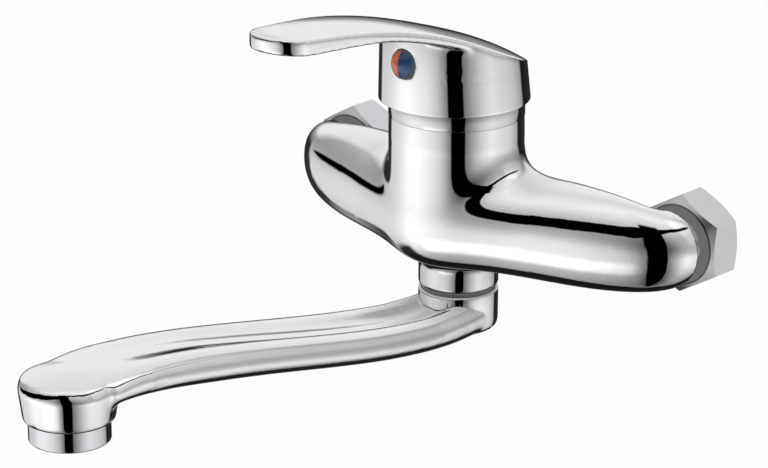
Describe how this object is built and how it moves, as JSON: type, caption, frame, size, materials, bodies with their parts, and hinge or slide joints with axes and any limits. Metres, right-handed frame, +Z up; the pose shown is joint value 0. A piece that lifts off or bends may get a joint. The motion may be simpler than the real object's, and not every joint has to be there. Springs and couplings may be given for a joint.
{
  "type": "wall-mounted swivel tap",
  "caption": "Two-hole wall-mounted single-lever mixer tap with a crescent body, union nuts behind its arms, a cartridge column and a long swivel spout with an aerator.",
  "frame": {"origin": "midway between the two inlets, on the plane of the union nuts' rear faces, where the tap meets its wall connectors", "axes": "+X to the right seen from the room, -Y out of the wall into the room, +Z up"},
  "size_m": [0.18, 0.2389, 0.125],
  "materials": {
    "chrome_casting": "polished",
    "satin_chrome": "satin",
    "plain_brass": "turned",
    "stainless_steel": "turned",
    "cartridge_plastic": "moulded",
    "insert_plastic": "moulded",
    "plug_plastic": "moulded",
    "index_red": "polished",
    "index_blue": "polished",
    "disc_ceramic": "lapped",
    "seal_rubber": "moulded"
  },
  "bodies": {
    "fixed_body": {"mixer_body": "chrome_casting", "inlet_tail_left": "satin_chrome", "inlet_tail_right": "satin_chrome", "inlet_washer_left": "seal_rubber", "inlet_washer_right": "seal_rubber", "cartridge_base": "cartridge_plastic", "base_seals": "seal_rubber", "fixed_disc": "disc_ceramic", "cartridge_housing": "cartridge_plastic", "cartridge_nut": "plain_brass", "collar_ring": "satin_chrome", "spout_o_rings": "seal_rubber", "glide_ring": "plug_plastic"},
    "turret": {"stem_guide": "cartridge_plastic", "stem_pin": "stainless_steel"},
    "lever": {"cartridge_stem": "plain_brass", "handle": "chrome_casting", "handle_screw": "stainless_steel", "index_plug": "plug_plastic", "index_red": "index_red", "index_blue": "index_blue"},
    "disc_carriage": {"disc_carrier": "cartridge_plastic", "moving_disc": "disc_ceramic"},
    "spout": {"spout_body": "chrome_casting", "spout_screw": "stainless_steel", "aerator_shell": "satin_chrome", "aerator_insert": "insert_plastic", "aerator_washer": "seal_rubber"},
    "nut_left": {"union_nut_left": "satin_chrome"},
    "nut_right": {"union_nut_right": "satin_chrome"}
  },
  "joints": [
    {"name": "temperature_turn", "type": "hinge", "parent": "fixed_body", "child": "turret", "pos_m": [0, -0.041, 0], "axis": [0, 0, 1], "range_deg": [-45, 45]},
    {"name": "lever_lift", "type": "hinge", "parent": "turret", "child": "lever", "pos_m": [0, -0.041, 0.0345], "axis": [-1, 0, 0], "range_deg": [0, 20]},
    {"name": "disc_slide", "type": "slide", "parent": "turret", "child": "disc_carriage", "axis": [0, -1, 0], "range_m": [0, 0.0023]},
    {"name": "spout_swivel", "type": "hinge", "parent": "fixed_body", "child": "spout", "pos_m": [0, -0.0395, -0.03], "axis": [0, 0, 1], "range_deg": [-90, 90]},
    {"name": "nut_left_turn", "type": "hinge", "parent": "fixed_body", "child": "nut_left", "pos_m": [-0.075, 0, 0], "axis": [0, 1, 0], "continuous": true},
    {"name": "nut_right_turn", "type": "hinge", "parent": "fixed_body", "child": "nut_right", "pos_m": [0.075, 0, 0], "axis": [0, 1, 0], "continuous": true}
  ],
  "couplings": [
    {"joint": "disc_slide", "follows": "lever_lift", "m_per_rad": 0.0065}
  ]
}
